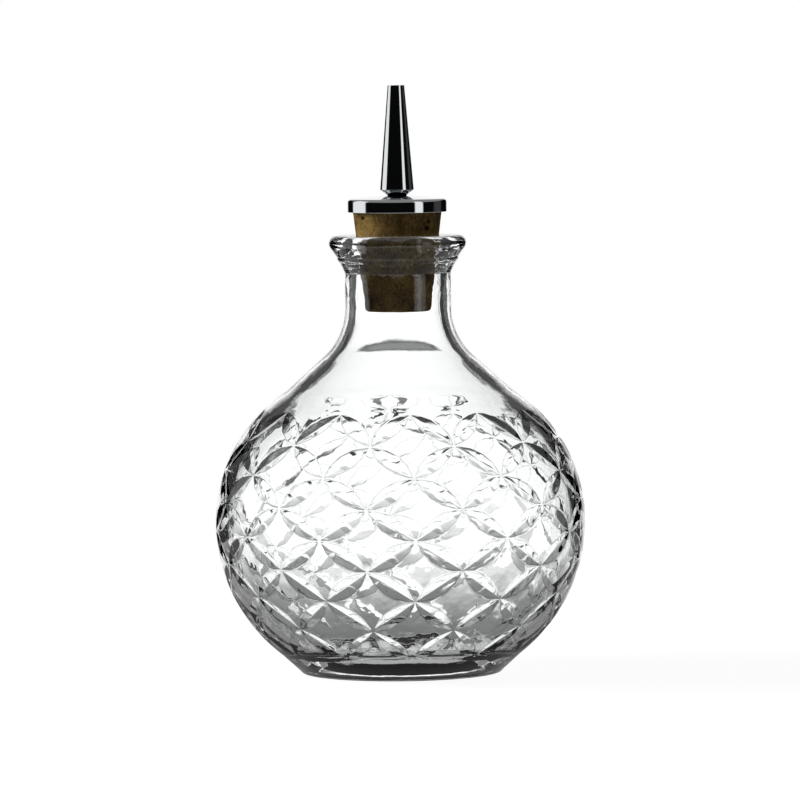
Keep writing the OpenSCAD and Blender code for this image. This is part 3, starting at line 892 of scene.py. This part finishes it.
def table_top(stage):
    """A matt board: plain white to the camera with the bottle's soft shadow on it. Through glass it glows by itself
    with painted shade and painted light: grey beside the bottle, lighter right under the foot, where the glass
    gathers light, and white further out."""
    material, output = new_material("matt_white_board")
    tree = material.node_tree
    path = add(tree, "LightPath").outputs
    white = add(tree, "BsdfDiffuse", {"Color": linear("#FFFFFF")})
    # Painted shade: to light that bounces off it, the white board is a grey copy, standing in for the shade it lies
    # in beside the bottle.
    grey = add(tree, "BsdfDiffuse", {"Color": linear("#909090")})
    lit = add(tree, "Emission", {"Color": (1, 1, 1, 1), "Strength": 1.08})
    shadow = add(tree, "MixShader", {0: 0.88, 1: white.outputs["BSDF"], 2: lit.outputs["Emission"]})
    place = add(tree, "TexCoord").outputs["Object"]
    away = add(tree, "VectorMath", {"Vector": place}, operation="LENGTH").outputs["Value"]
    # Painted shade: the board's glow through glass is dim near the bottle and rises to white further out.
    light = add(tree, "MapRange", {"Value": away, "From Min": stage.board_dark_r, "From Max": stage.board_light_r,
                                   "To Min": stage.painted_board_shade, "To Max": 1.0}, interpolation_type="SMOOTHSTEP")
    # Painted light: a pool of light under the foot, where the glass gathers light.
    under = add(tree, "MapRange", {"Value": away, "From Min": 24 * MM, "From Max": 32 * MM,
                                   "To Min": stage.painted_foot_light, "To Max": 0.0}, interpolation_type="SMOOTHSTEP")
    level = add(tree, "Math", {0: light.outputs["Result"], 1: under.outputs["Result"]}, operation="MAXIMUM")
    board = add(tree, "Emission", {"Color": (1, 1, 1, 1), "Strength": level.outputs["Value"]})
    both = add(tree, "MixShader", {0: path["Is Camera Ray"], 1: board.outputs["Emission"],
                                   2: shadow.outputs["Shader"]})
    # Painted shade: light that bounces off the board meets the grey copy.
    dull = add(tree, "MixShader", {0: path["Is Diffuse Ray"], 1: both.outputs["Shader"],
                                   2: grey.outputs["BSDF"]})
    tree.links.new(dull.outputs["Shader"], output.inputs["Surface"])
    return material


class BITTERS_OT_stage(bpy.types.Operator):
    """Makes the table, the studio, the lamps and the camera of the photograph."""
    bl_idname = "bitters.stage"
    bl_label = "Stage"

    def execute(self, context):
        scene = context.scene
        stage = scene.bitters.stage
        rings = np.array([[stage.board_r, 0], [stage.board_r / 2, 0], [0, 0]])
        points = turned(rings, np.linspace(0, 2 * np.pi, 96, endpoint=False))
        # The board lies a hair under the foot, so that light through the foot meets it.
        points += np.array([0, stage.board_back - stage.board_r, -0.1 * MM])
        floor = new_piece("table_top", points.reshape(-1, 3), grid_quads(*points.shape[:2], closed=True),
                          table_top(stage))
        studio_world(scene)

        for name, place, width, power in (("key", (-1.2, 0.1, 0.4), 0.5, 22.0), ("fill", (0.6, 1.2, 0.6), 0.7, 6.0)):
            lamp = bpy.data.lights.new(name, "AREA")
            lamp.size, lamp.energy = width, power
            lamp_object = bpy.data.objects.new(name, lamp)
            lamp_object.location = place
            lamp_object.rotation_euler = Vector(place).to_track_quat("Z", "Y").to_euler()
            lamp_object.visible_glossy = lamp_object.visible_transmission = lamp_object.visible_camera = False
            scene.collection.objects.link(lamp_object)

        camera = bpy.data.cameras.new("camera")
        camera.lens, camera.sensor_width = stage.lens, 36
        camera.clip_end = 20
        camera_object = bpy.data.objects.new("camera", camera)
        place, aim = Vector((0, -stage.camera_y, stage.camera_z)), Vector((stage.aim_x, 0, stage.aim_z))
        look = (aim - place).to_track_quat("-Z", "Y").to_matrix().to_4x4()
        camera_object.matrix_world = Matrix.Translation(place) @ look @ Matrix.Rotation(-stage.roll, 4, "Z")
        scene.collection.objects.link(camera_object)
        scene.camera = camera_object
        scene.view_settings.view_transform = "Standard"
        scene.cycles.max_bounces = 24
        scene.cycles.transmission_bounces = 24
        return {"FINISHED"}


OPERATORS = (BITTERS_OT_glass, BITTERS_OT_cork, BITTERS_OT_metal, BITTERS_OT_stage)


class BITTERS_PT_panel(bpy.types.Panel):
    """Lists the operators that make the bottle and its stage."""
    bl_label = "Bitters bottle"
    bl_idname = "BITTERS_PT_panel"
    bl_space_type = "VIEW_3D"
    bl_region_type = "UI"
    bl_category = "Bottle"

    def draw(self, context):
        for operator in OPERATORS:
            self.layout.operator(operator.bl_idname)


CLASSES = (GlassSizes, CutSizes, StopperSizes, StageSettings, BottleSettings, *OPERATORS, BITTERS_PT_panel)


def register():
    """Registers the classes and the settings on the scene."""
    for cls in CLASSES:
        bpy.utils.register_class(cls)
    bpy.types.Scene.bitters = bpy.props.PointerProperty(type=BottleSettings)


def unregister():
    """Removes the settings and the classes."""
    del bpy.types.Scene.bitters
    for cls in reversed(CLASSES):
        bpy.utils.unregister_class(cls)


def main():
    register()
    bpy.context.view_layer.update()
    bpy.ops.bitters.glass()
    bpy.ops.bitters.cork()
    bpy.ops.bitters.metal()
    bpy.ops.bitters.stage()


if __name__ == "__main__":
    main()
